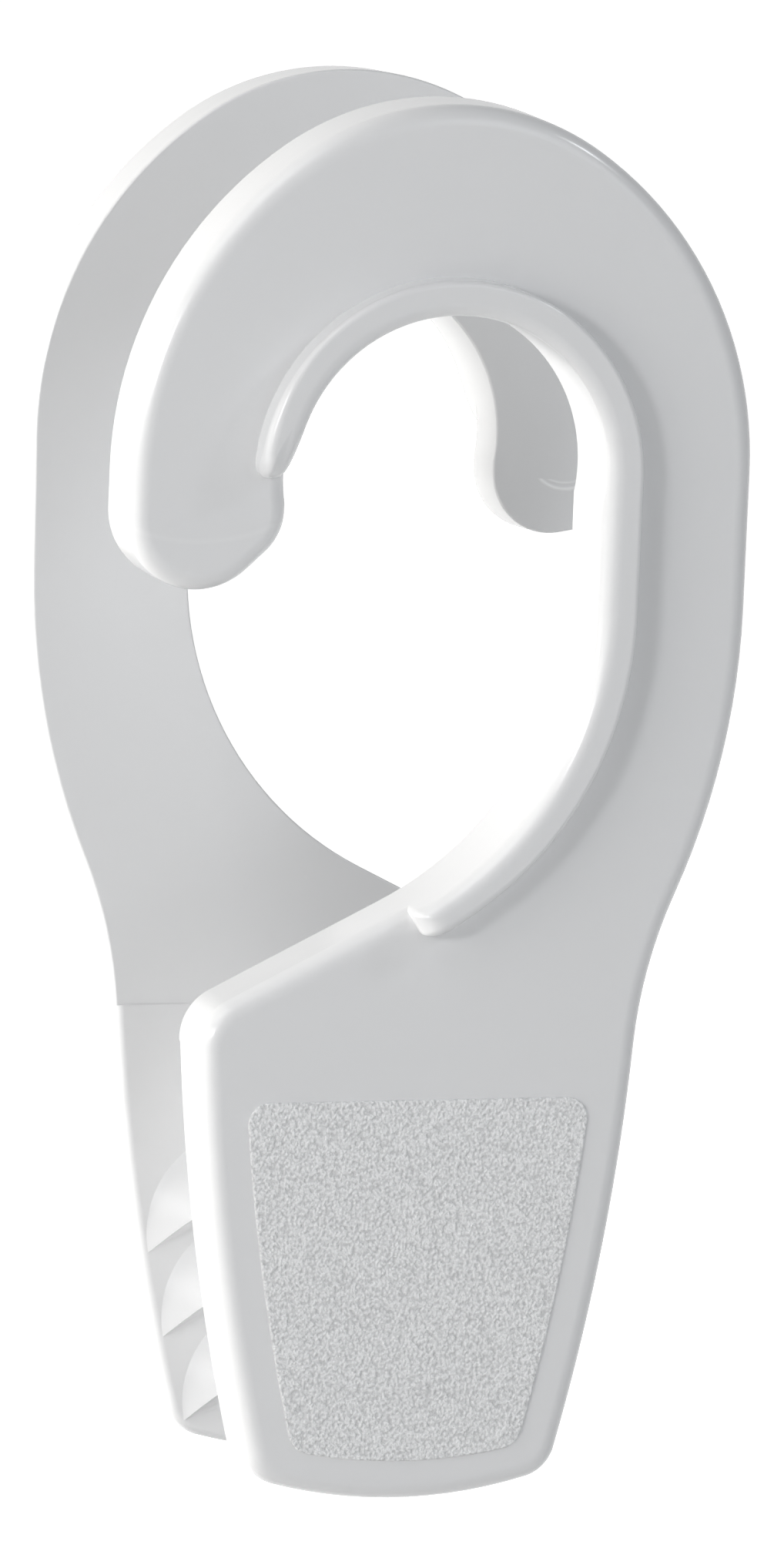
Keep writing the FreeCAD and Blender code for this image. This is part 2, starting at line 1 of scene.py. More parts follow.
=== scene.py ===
"""Looks of a twist-on fender hanger: glossy white moulded plastic in a pale studio.

Lengths in this script are millimetres and angles are degrees. A plate is
worked out upright, with its inner face at level 0, and is then leant out and
set on its side of the gap. The part's frame has the rail along Y and Z up.
"""
import logging
import math
from dataclasses import dataclass
from enum import Enum

import bpy
import numpy as np
from mathutils import Matrix, Vector

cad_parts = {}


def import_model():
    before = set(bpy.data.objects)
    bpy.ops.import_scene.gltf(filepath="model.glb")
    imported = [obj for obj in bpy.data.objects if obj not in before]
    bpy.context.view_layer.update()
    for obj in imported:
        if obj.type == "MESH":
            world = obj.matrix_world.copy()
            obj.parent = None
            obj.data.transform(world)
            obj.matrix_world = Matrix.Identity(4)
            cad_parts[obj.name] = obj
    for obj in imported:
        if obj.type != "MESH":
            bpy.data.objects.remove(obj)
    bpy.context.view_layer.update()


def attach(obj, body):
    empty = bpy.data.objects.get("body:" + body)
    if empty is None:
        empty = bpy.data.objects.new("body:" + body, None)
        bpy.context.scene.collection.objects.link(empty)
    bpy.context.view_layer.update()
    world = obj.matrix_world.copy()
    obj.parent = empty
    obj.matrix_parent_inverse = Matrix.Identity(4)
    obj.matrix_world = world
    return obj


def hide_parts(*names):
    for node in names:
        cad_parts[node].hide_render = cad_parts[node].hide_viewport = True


Array = np.ndarray
Pair = tuple[float, float]
Triple = tuple[float, float, float]
Quad = tuple[float, float, float, float]
Tree = bpy.types.NodeTree
Material = bpy.types.Material

# One millimetre in metres.
MM = 0.001
# Points of a mesh that are closer become one, and ends of an outline meet at a joint.
WELD = 1e-4
JOINT = 50 * WELD
# A joint that turns by less is smooth.
SMOOTH_TURN = 3.0
# Points along a quarter round, and a length that counts as none.
QUARTER_POINTS = 9
TINY = 1e-9
# The node of the solid that the pieces replace, and the body they ride on.
NODE = "hanger"
BODY = "root"
TEETH_PER_JAW = 3

log = logging.getLogger("fender_hanger")


@dataclass(frozen=True)
class Foot:
    """A rounded foot between two flanks.

    Attributes:
        drop: How far its lowest point is under the seat's centre.
        radius: Radius of its arc.
        corner: Radius of its corners.
        margin: How far its flanks stand in from the grip's.
    """

    drop: float
    radius: float
    corner: float
    margin: float = 0.0


@dataclass(frozen=True)
class Sizes:
    """Driving sizes: first the solid's, and at the end those that only the looks have."""

    # rail seat and the throat under it
    seat_radius: float = 13.1
    throat_half_width: float = 12.9
    throat_drop: float = 11.0
    throat_radius: float = 27.35
    throat_slope: float = 26.7
    # outline of the hook; a tip has drop and radius of its outer and inner corner
    half_width: float = 26.0
    crown_height: float = 29.55
    crown_radius: float = 22.0
    front_tip: Quad = (3.2, 6.0, 2.8, 4.6)
    back_tip: Quad = (0.5, 7.7, 3.3, 5.0)
    neck_radius: float = 37.9
    # outline of the grip
    waist_half_width: float = 18.35
    waist_drop: float = 46.5
    flank_lean: float = 3.9
    flank_radius: float = 185.0
    foot: Foot = Foot(drop=83.4, radius=40.0, corner=3.4)
    # side view
    half_gap: float = 10.37
    plate_thickness: float = 6.4
    splay: float = 1.95
    jaw_step: float = 0.15
    edge_round: float = 1.6
    # rim
    rim_width: float = 3.05
    rim_height: float = 2.4
    rim_inner_round: float = 1.4
    rim_outer_round: float = 0.5
    rim_end_round: float = 2.0
    rim_end_turn: float = 61.8
    # thumb panel
    panel_drop: float = 50.5
    panel_height: float = 0.2
    panel_round: float = 0.15
    panel_top_corner: float = 1.75
    panel_foot: Foot = Foot(drop=80.05, radius=43.0, corner=2.0, margin=3.6)
    # web
    saddle_radius: float = 9.0
    saddle_drop: float = 55.0
    web_foot_radius: float = 6.5
    web_foot_drop: float = 75.0
    web_bury: float = 0.4
    # teeth
    tooth_radius: float = 8.3
    tooth_height: float = 4.7
    tooth_bury: float = 0.3
    tooth_bearing: float = 12.0
    tooth_foot_angle: float = 17.7
    tooth_margin: float = 0.6
    tooth_drop: float = 66.8
    tooth_pitch: float = 6.95
    # looks only: inner edges of hook and grip, the web's corners, the rim's
    # outer edge, start and slimmer end, and the teeth's hollow
    arris: float = 0.22
    jaw_soft: float = 0.7
    web_blend: float = 0.6
    rim_end_soft: float = 0.9
    rim_soft_run: float = 9.0
    rim_start_reach: float = 4.6
    rim_end_slim: float = 0.4
    rim_slim_run: float = 22.0
    tooth_hollow: float = 2.6


SIZES = Sizes()


class Side(Enum):
    """The two plates, by how far each is turned about Z."""

    FRONT = 0.0
    BACK = 180.0

    def placing(self) -> tuple[Array, Array]:
        """Turn and shift that take an upright plate to its place.

        The plate leans by the splay about the middle of its seat's depth, is
        moved out by the half gap, and is turned about Z.

        Returns:
            A 3 x 3 turning matrix and a shift.
        """
        depth = (SIZES.plate_thickness + SIZES.rim_height) / 2
        leaning = np.array(Matrix.Rotation(math.radians(SIZES.splay), 3, "X"))
        turning = np.array(Matrix.Rotation(math.radians(self.value), 3, "Z"))
        out = leaning @ np.array([0.0, depth, 0.0]) - np.array([0.0, SIZES.half_gap + depth, 0.0])
        return turning @ leaning, turning @ out


@dataclass
class Patch:
    """A stretch of surface: points, a unit normal at each, and faces of point numbers."""

    points: Array
    normals: Array
    faces: Array

    def placed(self, side: Side) -> "Patch":
        """The patch on its side of the gap, in the part's frame."""
        turn, shift = side.placing()
        return Patch(self.points @ turn.T + shift, self.normals @ turn.T, self.faces)


def smooth_step(share: Array) -> Array:
    """A share held between 0 and 1 and eased at both: x^2 (3 - 2 x)."""
    held = np.clip(share, 0, 1)
    return held**2 * (3 - 2 * held)


def in_space(plan: Array, level: Array | float) -> Array:
    """Points in space from points across and up and their levels along Y."""
    return np.stack([plan[..., 0], np.broadcast_to(level, plan.shape[:-1]), plan[..., 1]], axis=-1)


def unit(vectors: Array, spare: Array) -> Array:
    """Vectors divided by their lengths, or the spare direction where one has no length."""
    length = np.linalg.norm(vectors, axis=-1, keepdims=True)
    return np.where(length > TINY, vectors / np.maximum(length, TINY), spare)


def grid_normals(points: Array, towards: Array, wrap: bool = False) -> Array:
    """Normals of a grid: the cross product of its slopes along rows and columns.

    Args:
        points: Grid of points, rows x columns x 3.
        towards: A direction on the outer side, one or one for each point.
        wrap: Whether the last column joins the first.

    Returns:
        A unit normal for each point of the grid.
    """
    if wrap:
        along = np.roll(points, -1, axis=1) - np.roll(points, 1, axis=1)
    else:
        along = np.gradient(points, axis=1)
    normals = np.cross(np.gradient(points, axis=0), along)
    facing = np.sign(np.sum(normals * towards, axis=-1, keepdims=True))
    return unit(normals * np.where(facing == 0, 1, facing), np.broadcast_to(towards, points.shape))


def grid_patch(points: Array, normals: Array, wrap: bool = False) -> Patch:
    """Four-cornered faces between neighbouring points of a grid.

    Args:
        points: Grid of points, rows x columns x 3.
        normals: The outward normal at each point.
        wrap: Whether the last column joins the first.

    Returns:
        A patch whose faces are turned to face the way its normals do.
    """
    number = np.arange(points.shape[0] * points.shape[1]).reshape(points.shape[:2])
    if wrap:
        number = np.concatenate([number, number[:, :1]], axis=1)
    corners = (number[:-1, :-1], number[:-1, 1:], number[1:, 1:], number[1:, :-1])
    faces = np.stack(corners, axis=-1).reshape(-1, 4)
    flat, facing = points.reshape(-1, 3), normals.reshape(-1, 3)
    area = np.cross(flat[faces[:, 2]] - flat[faces[:, 0]], flat[faces[:, 3]] - flat[faces[:, 1]])
    agree = np.sum(area * facing[faces].mean(axis=1))
    return Patch(flat, facing, faces if agree > 0 else faces[:, ::-1])


def cap_patch(ring: Array, normal: Triple) -> Patch:
    """One flat face that fills a ring.

    Args:
        ring: The ring's points in order.
        normal: The way that the face looks.

    Returns:
        A patch with a single face, turned by the sign of the ring's area.
    """
    ring = ring[np.linalg.norm(ring - np.roll(ring, 1, axis=0), axis=1) > WELD]
    area = np.sum(np.cross(ring, np.roll(ring, -1, axis=0)), axis=0)
    order = np.arange(len(ring))[:: 1 if area @ np.array(normal) > 0 else -1]
    return Patch(ring, np.tile(normal, (len(ring), 1)).astype(float), order[None, :])


def capped(points: Array, normals: Array, wrap: bool = True) -> list[Patch]:
    """A grid whose first and last rows are rings at an even level, each filled by a flat face.

    Args:
        points: Grid of points, rows x columns x 3.
        normals: The outward normal at each point.
        wrap: Whether the last column joins the first.

    Returns:
        The grid's patch and the two faces'.
    """
    way = math.copysign(1, points[0, 0, 1] - points[-1, 0, 1])
    caps = [cap_patch(points[0], (0, way, 0)), cap_patch(points[-1], (0, -way, 0))]
    return [grid_patch(points, normals, wrap), *caps]


class Outline:
    """An edge walked with the plastic on its left, as points, outward normals and insets.

    An inset is the vector that moves a point inwards by 1 mm: the normal turned
    round, and at a sharp corner the mitre of its two normals.
    """

    ARC_STEP = 2.5
    FINEST_ARC_STEP = 0.6
    LINE_STEP = 2.0

    def __init__(self) -> None:
        """Start with no points."""
        self.parts: list[tuple[Array, Array]] = []

    def arc(self, centre: Pair, radius: float, first: float, last: float) -> "Outline":
        """Add an arc: centre + radius x (cos, sin), backwards where the edge is hollow.

        Args:
            centre: Its centre, across and up.
            radius: Its radius.
            first: The direction where it starts.
            last: The direction where it ends.

        Returns:
            The outline itself.
        """
        even = min(self.ARC_STEP, math.degrees(self.LINE_STEP / radius))
        count = max(3, math.ceil(abs(last - first) / max(self.FINEST_ARC_STEP, even)) + 1)
        turns = np.radians(np.linspace(first, last, count))
        spokes = np.stack([np.cos(turns), np.sin(turns)], axis=1)
        self.parts.append(
            (np.array(centre) + radius * spokes, math.copysign(1, last - first) * spokes)
        )
        return self

    def line(self, start: Pair, end: Pair) -> "Outline":
        """Add a straight line; its normal is its direction turned a quarter to the right.

        Args:
            start: Where it starts, across and up.
            end: Where it ends.

        Returns:
            The outline itself.
        """
        run = np.array(end) - np.array(start)
        length = float(np.hypot(*run))
        share = np.linspace(0, 1, max(2, math.ceil(length / self.LINE_STEP) + 1))[:, None]
        normal = np.array([run[1], -run[0]]) / length
        self.parts.append((np.array(start) + share * run, np.tile(normal, (len(share), 1))))
        return self

    def sampled(self, closed: bool) -> tuple[Array, Array, Array]:
        """All points of the walk, with smooth joints merged and sharp ones mitred.

        At a sharp corner both points get the inset (a + b) / (1 + a . b), where
        a and b are the normals before and after it.

        Args:
            closed: Whether the walk's end joins its start.

        Returns:
            Points, outward normals and insets, one row each.
        """
        points, normals = (np.concatenate(part) for part in zip(*self.parts))
        same = np.linalg.norm(points - np.roll(points, 1, axis=0), axis=1) < JOINT
        straight = math.cos(math.radians(SMOOTH_TURN))
        smooth = np.sum(normals * np.roll(normals, 1, axis=0), axis=1) > straight
        if not closed:
            same[0] = False
        keep = ~(same & smooth)
        points, normals, corner = points[keep], normals[keep], (same & ~smooth)[keep]
        previous = np.roll(normals, 1, axis=0)
        mitre = (normals + previous) / (1 + np.sum(normals * previous, axis=1, keepdims=True))
        insets = np.where(corner[:, None], mitre, normals)
        insets = np.where(np.roll(corner, -1)[:, None], np.roll(mitre, -1, axis=0), insets)
        return points, normals, -insets


def slab(outline: Outline, closed: bool, high: Pair, low: Pair) -> list[Patch]:
    """A flat body whose edge is rounded off towards both of its faces.

    Both rounds are quarter circles. At the direction t, from 90 degrees at the
    face to 0 at the wall, a point is radius x (1 - cos t) in from the edge and
    radius x (1 - sin t) from its face.

    Args:
        outline: The body's edge. One left open is closed by a flat end.
        closed: Whether the outline is closed.
        high: Level and radius at the face that looks along +Y.
        low: Level and radius at the other face.

    Returns:
        The patches of a closed body.
    """
    quarter = np.radians(np.linspace(90, 0, QUARTER_POINTS))
    out, lift = np.cos(quarter), np.sin(quarter)
    inset = np.concatenate([high[1] * (1 - out), low[1] * (1 - out[::-1])])
    level = np.concatenate([high[0] - high[1] * (1 - lift), low[0] + low[1] * (1 - lift[::-1])])
    places, normals, insets = outline.sampled(closed)
    points = in_space(places + insets * inset[:, None, None], level[:, None])
    outward = normals * np.concatenate([out, out[::-1]])[:, None, None]
    facing = in_space(outward, np.concatenate([lift, -lift[::-1]])[:, None])
    patches = capped(points, facing, closed)
    if not closed:
        end = np.concatenate([points[:, 0], points[::-1, -1]])
        inward = points.mean(axis=(0, 1)) - end.mean(axis=0)
        patches.append(cap_patch(end, (0, 0, -math.copysign(1, inward[2]))))
    return patches


def polar(centre: Pair, radius: float, degrees: float) -> Pair:
    """The point at a radius and direction from a centre."""
    turn = math.radians(degrees)
    return centre[0] + radius * math.cos(turn), centre[1] + radius * math.sin(turn)


def bearing(start: Pair, end: Pair) -> float:
    """The direction from one point to another, in degrees."""
    return math.degrees(math.atan2(end[1] - start[1], end[0] - start[0]))


def circles_meet(first: Pair, first_radius: float, second: Pair, second_radius: float) -> Pair:
    """The lower meeting point of two circles, by the chord between them.

    Args:
        first: Centre of the first circle.
        first_radius: Its radius.
        second: Centre of the second circle.
        second_radius: Its radius.

    Returns:
        The meeting point that lies lower.
    """
    gap = math.dist(first, second)
    along = (gap**2 + first_radius**2 - second_radius**2) / (2 * gap)
    across = math.sqrt(first_radius**2 - along**2)
    turn = bearing(first, second)
    middle = polar(first, along, turn)
    return min((polar(middle, across, turn + quarter) for quarter in (90, -90)), key=lambda p: p[1])


@dataclass(frozen=True)
class PlateOutlines:
    """The edges of one plate, worked out from the driving sizes."""

    side: Side
    sizes: Sizes = SIZES

    def flank(self) -> Pair:
        """Centre of the right flank's arc, which leans in from the waist.

        Returns:
            The centre, across and up.
        """
        lean = math.radians(self.sizes.flank_lean)
        across = self.sizes.waist_half_width - self.sizes.flank_radius * math.cos(lean)
        return across, self.sizes.flank_radius * math.sin(lean) - self.sizes.waist_drop

    def corner(self, foot: Foot) -> Pair:
        """Centre of the round corner between the right flank and a foot.

        Args:
            foot: The foot.

        Returns:
            The centre, across and up.
        """
        reach = self.sizes.flank_radius - foot.margin - foot.corner
        middle = (0.0, foot.radius - foot.drop)
        return circles_meet(self.flank(), reach, middle, foot.radius - foot.corner)

    def jaw_edge(self, level: float) -> float:
        """How far the grip's edge is from the middle, on the flank's arc or the corner's circle.

        Args:
            level: The level along Z.

        Returns:
            The distance across.
        """
        centre, radius = self.flank(), self.sizes.flank_radius
        corner = self.corner(self.sizes.foot)
        if level < polar(centre, radius, bearing(centre, corner))[1]:
            centre, radius = corner, self.sizes.foot.corner
        return centre[0] + math.sqrt(radius**2 - (level - centre[1]) ** 2)

    def hook(self) -> Outline:
        """The hook from the right waist over the crown to the left waist.

        Neighbouring arcs share a tangent: the shank's and the shoulders' radii
        follow from that, and so does the slanted edge's round corner.

        Returns:
            The hook's edge, open at the waist.
        """
        s = self.sizes
        width, lean, bore, slope = s.half_width, s.flank_lean, s.throat_half_width, s.throat_slope

        neck = polar((s.waist_half_width, -s.waist_drop), s.neck_radius, -lean)
        across, rise = neck[0] - width, neck[1] + s.throat_drop
        shank_radius = (across**2 + rise**2 - s.neck_radius**2) / (2 * (s.neck_radius - across))
        shank = (width - shank_radius, -s.throat_drop)
        neck_turn = bearing(shank, neck)

        height = s.crown_height - s.crown_radius
        shoulder = (width**2 + height**2 - s.crown_radius**2) / (2 * (width - s.crown_radius))
        crown_turn = math.degrees(math.atan2(height, shoulder - width))

        tip = s.back_tip if self.side is Side.BACK else s.front_tip
        outer_drop, outer_radius, inner_drop, inner_radius = tip
        outer = (outer_radius - width, -outer_drop)
        inner = (-bore - inner_radius, -inner_drop)
        ratio = (outer_radius - inner_radius) / math.dist(outer, inner)
        tip_turn = bearing(outer, inner) - math.degrees(math.acos(ratio))

        throat = (bore - s.throat_radius, -s.throat_drop)
        throat_end = polar(throat, s.throat_radius, slope - 90)
        waist = (-s.waist_half_width, -s.waist_drop)
        run, tilt = (waist[0] - throat_end[0], waist[1] - throat_end[1]), math.radians(slope)
        below = run[0] * math.sin(tilt) - run[1] * math.cos(tilt)
        corner_radius = below / (1 - math.cos(math.radians(90 + lean - slope)))
        corner = polar(waist, corner_radius, lean)
        crease = math.sqrt(s.seat_radius**2 - bore**2)
        seat_turn = bearing((0, 0), (bore, -crease))

        return (
            Outline()
            .arc(neck, s.neck_radius, 180 - lean, neck_turn + 180)
            .arc(shank, shank_radius, neck_turn, 0)
            .line((width, -s.throat_drop), (width, 0))
            .arc((width - shoulder, 0), shoulder, 0, crown_turn)
            .arc((0, height), s.crown_radius, crown_turn, 180 - crown_turn)
            .arc((shoulder - width, 0), shoulder, 180 - crown_turn, 180)
            .line((-width, 0), (-width, outer[1]))
            .arc(outer, outer_radius, 180, tip_turn + 360)
            .line(polar(outer, outer_radius, tip_turn), polar(inner, inner_radius, tip_turn))
            .arc(inner, inner_radius, tip_turn, 0)
            .line((-bore, inner[1]), (-bore, -crease))
            .arc((0, 0), s.seat_radius, 180 - seat_turn, seat_turn)
            .line((bore, -crease), (bore, throat[1]))
            .arc(throat, s.throat_radius, 0, slope - 90)
            .line(throat_end, polar(corner, corner_radius, 90 + slope))
            .arc(corner, corner_radius, 90 + slope, 180 + lean)
        )

    def bowl(self, outline: Outline, foot: Foot, high: float) -> Outline:
        """Add the left flank, a foot with its round corners, and the right flank.

        Args:
            outline: The outline to add to.
            foot: The foot.
            high: The direction from the right flank's centre to its upper end.

        Returns:
            The outline itself.
        """
        side, middle, corner = self.flank(), (0.0, foot.radius - foot.drop), self.corner(foot)
        radius = self.sizes.flank_radius - foot.margin
        low, under = bearing(side, corner), bearing(middle, corner)
        return (
            outline.arc((-side[0], side[1]), radius, 180 - high, 180 - low)
            .arc((-corner[0], corner[1]), foot.corner, 180 - low, 180 - under)
            .arc(middle, foot.radius, 180 - under, 360 + under)
            .arc(corner, foot.corner, under, low)
            .arc(side, radius, low, high)
        )

    def grip(self) -> Outline:
        """The grip from the left waist round its foot to the right waist."""
        return self.bowl(Outline(), self.sizes.foot, -self.sizes.flank_lean)

    def panel(self) -> Outline:
        """The thumb panel: its sides follow the flanks at an even margin, its foot is flatter.

        Returns:
            The panel's closed edge.
        """
        s, side, corner = self.sizes, self.flank(), self.sizes.panel_top_corner
        level = -s.panel_drop - corner
        reach = s.flank_radius - s.panel_foot.margin - corner
        high = (side[0] + math.sqrt(reach**2 - (level - side[1]) ** 2), level)
        turn = bearing(side, high)
        outline = Outline().line((high[0], -s.panel_drop), (-high[0], -s.panel_drop))
        outline.arc((-high[0], level), corner, 90, 180 - turn)
        return self.bowl(outline, s.panel_foot, turn).arc(high, corner, turn, 90)

    def web(self) -> Outline:
        """The web: a round saddle, sides that draw in, and a smaller round foot.

        The sides touch both arcs, so they lean by the angle whose sine is the
        difference of the radii over the distance of the centres.

        Returns:
            The web's closed edge.
        """
        s = self.sizes
        top, high = (0.0, -s.saddle_drop), s.saddle_radius
        foot, low = (0.0, -s.web_foot_drop), s.web_foot_radius
        lean = math.degrees(math.asin((high - low) / (top[1] - foot[1])))
        return (
            Outline()
            .arc(top, high, -lean, 180 + lean)
            .line(polar(top, high, 180 + lean), polar(foot, low, 180 + lean))
            .arc(foot, low, 180 + lean, 360 - lean)
            .line(polar(foot, low, -lean), polar(top, high, -lean))
        )


class Graph:
    """A shader node tree with short ways to add and join nodes."""

    def __init__(self, tree: Tree) -> None:
        """Take over a node tree."""
        self.tree = tree

    def feed(self, node: bpy.types.Node, **inputs: object) -> None:
        """Set or join a node's inputs.

        Args:
            node: The node.
            **inputs: A value or an output for each input. Its name has _ for a
                blank, or it is i and the input's number.
        """
        for name, value in inputs.items():
            label = name.replace("_", " ")
            socket = node.inputs[int(label[1:])] if label[1:].isdigit() else node.inputs[label]
            if isinstance(value, bpy.types.NodeSocket):
                self.tree.links.new(value, socket)
            else:
                socket.default_value = value

    def add(self, kind: str, settings: dict | None = None, **inputs: object) -> bpy.types.Node:
        """Add a node, set its settings, and set or join its inputs.

        Args:
            kind: The node's type name.
            settings: Values for the node's own attributes.
            **inputs: The inputs, named as for feed.

        Returns:
            The new node.
        """
        node = self.tree.nodes.new(kind)
        for name, value in (settings or {}).items():
            setattr(node, name, value)
        self.feed(node, **inputs)
        return node

    def math(self, kind: str, first: object, second: object = 0.0, clamp: bool = False) -> object:
        """The result of a math node, which clamp keeps between 0 and 1."""
        settings = {"operation": kind, "use_clamp": clamp}
        return self.add("ShaderNodeMath", settings, i0=first, i1=second).outputs[0]

    def noise(self, place: object, scale: object, detail: float, roughness: float) -> object:
        """The value of a noise texture with some finer layers."""
        inputs = {"Vector": place, "Scale": scale, "Detail": detail, "Roughness": roughness}
        return self.add("ShaderNodeTexNoise", **inputs).outputs[0]

    def mix(self, share: object, first: object, second: Triple) -> object:
        """A colour, given or put out by a node, with a share of a second colour."""
        inputs = {"i6": (*first, 1) if isinstance(first, tuple) else first, "i7": (*second, 1)}
        return self.add("ShaderNodeMix", {"data_type": "RGBA"}, i0=share, **inputs).outputs[2]

    def bump(self, height: object, depth: float, strength: float = 1.0, **under: object) -> object:
        """The normal of a bump of some depth, laid on another Normal where one is given."""
        sizes = {"Strength": strength, "Distance": depth * MM}
        return self.add("ShaderNodeBump", Height=height, **sizes, **under).outputs[0]

    def group(self, tree: Tree, **inputs: object) -> object:
        """The outputs of a node group, with its inputs named as for feed."""
        return self.add("ShaderNodeGroup", {"node_tree": tree}, **inputs).outputs


def new_group(
    name: str, inputs: dict[str, float], outputs: tuple[str, ...]
) -> tuple[Graph, object]:
    """Start a shader node group with a Vector input, and named values in and out.

    Args:
        name: The group's name.
        inputs: The starting value of each input after the Vector.
        outputs: The outputs' names.

    Returns:
        The group's graph, and the outputs that hold what the group is given.
    """
    tree = bpy.data.node_groups.new(name, "ShaderNodeTree")
    new_socket, number = tree.interface.new_socket, "NodeSocketFloat"
    new_socket(name="Vector", in_out="INPUT", socket_type="NodeSocketVector")
    for label, value in inputs.items():
        new_socket(name=label, in_out="INPUT", socket_type=number).default_value = value
    for label in outputs:
        new_socket(name=label, in_out="OUTPUT", socket_type=number)
    graph = Graph(tree)
    return graph, graph.add("NodeGroupInput").outputs


def moulding_group() -> Tree:
    """Slow waves of a moulded face: a tint, a roughness and a height from soft noise.

    The tint is slow noise. The roughness is gloss + spread x (quick noise -
    1/2), held between 0 and 1, and the height is the slow noise with a little
    of the quick one.

    Returns:
        The group's tree.
    """
    finer, slow_height, quick_height = 6.0, 0.8, 0.04
    inputs, outputs = {"Scale": 40, "Gloss": 0.3, "Spread": 0.05}, ("Tint", "Roughness", "Height")
    graph, given = new_group("moulding_waves", inputs, outputs)
    slow = graph.noise(given["Vector"], given["Scale"], detail=2.0, roughness=0.45)
    scale = graph.math("MULTIPLY", given["Scale"], finer)
    quick = graph.noise(given["Vector"], scale, detail=3.0, roughness=0.55)
    spread = graph.math("MULTIPLY", graph.math("SUBTRACT", quick, 0.5), given["Spread"])
    rough = graph.math("ADD", given["Gloss"], spread, clamp=True)
    ripple = graph.math("MULTIPLY", quick, quick_height)
    height = graph.math("ADD", graph.math("MULTIPLY", slow, slow_height), ripple)
    graph.add("NodeGroupOutput", Tint=slow, Roughness=rough, Height=height)
    return graph.tree


def speck_group() -> Tree:
    """Tiny dark specks in the plastic: the cores of a few random cells.

    The mask is 1 closer than the size to the middle of a cell whose random
    number is under the share.

    Returns:
        The group's tree.
    """
    inputs = {"Spacing": 90, "Size": 0.05, "Share": 0.1}
    graph, given = new_group("moulding_specks", inputs, ("Mask",))
    cells = graph.add("ShaderNodeTexVoronoi", Vector=given["Vector"], Scale=given["Spacing"])
    core = graph.math("LESS_THAN", cells.outputs["Distance"], given["Size"])
    split = graph.add("ShaderNodeSeparateColor", Color=cells.outputs["Color"]).outputs[0]
    rare = graph.math("LESS_THAN", split, given["Share"])
    graph.add("NodeGroupOutput", Mask=graph.math("MULTIPLY", core, rare))
    return graph.tree


def grain_with_painted_relief_group() -> Tree:
    """Fine moulded grain: small rounded bumps of uneven size, with painted light and shade.

    The height is noise + hollow x the distance to a cell's middle. The tint,
    a painted highlight on the raised bumps and painted shade in the hollows,
    is contrast x (height + offset), and the roughness is base + spread x noise,
    both held between 0 and 1.

    Returns:
        The group's tree.
    """
    hollow, base, spread, offset, contrast = -0.6, 0.34, 0.22, -0.003, 3.0
    graph, given = new_group("moulded_grain_with_painted_relief", {"Scale": 2000}, ("Height", "Roughness", "Tint"))
    place = {"Vector": given["Vector"], "Scale": given["Scale"]}
    soft = {"feature": "SMOOTH_F1"}
    cells = graph.add("ShaderNodeTexVoronoi", soft, Smoothness=0.5, **place).outputs["Distance"]
    noise = graph.noise(given["Vector"], given["Scale"], detail=3.0, roughness=0.6)
    height = graph.math("ADD", graph.math("MULTIPLY", cells, hollow), noise)
    rough = graph.math("ADD", base, graph.math("MULTIPLY", noise, spread), clamp=True)
    # The tint paints the bumps' light and shade into the colour: paler on top, darker in the
    # hollows.
    tint = graph.math("MULTIPLY", graph.math("ADD", height, offset), contrast, clamp=True)
    graph.add("NodeGroupOutput", Height=height, Roughness=rough, Tint=tint)
    return graph.tree


def arc_group() -> Tree:
    """A faint arc left by the mould: 1 - |distance from the arc| / width.

    Its centre is across and up, it shows from the sag below the centre on, and
    it is kept to a face by the level along Y, give or take a depth. The mask
    makes the arc paler, which on the ejector mark is a painted highlight of its
    lower arc.

    Returns:
        The group's tree.
    """
    face_depth = 0.6 * MM
    inputs = {"Across": 0, "Up": 0, "Level": 0, "Radius": 0.003, "Width": 0.0001, "Sag": 0.001}
    graph, given = new_group("moulding_arc", inputs, ("Mask",))
    split = graph.add("ShaderNodeSeparateXYZ", Vector=given["Vector"]).outputs
    across = graph.math("SUBTRACT", split[0], given["Across"])
    up = graph.math("SUBTRACT", split[2], given["Up"])
    squares = (graph.math("MULTIPLY", side, side) for side in (across, up))
    reach = graph.math("SQRT", graph.math("ADD", *squares))
    off = graph.math("ABSOLUTE", graph.math("SUBTRACT", reach, given["Radius"]))
    band = graph.math("SUBTRACT", 1.0, graph.math("DIVIDE", off, given["Width"]), clamp=True)
    below = graph.math("LESS_THAN", up, graph.math("MULTIPLY", given["Sag"], -1.0))
    depth = graph.math("ABSOLUTE", graph.math("SUBTRACT", split[1], given["Level"]))
    facing = graph.math("LESS_THAN", depth, face_depth)
    mask = graph.math("MULTIPLY", band, graph.math("MULTIPLY", below, facing))
    graph.add("NodeGroupOutput", Mask=mask)
    return graph.tree


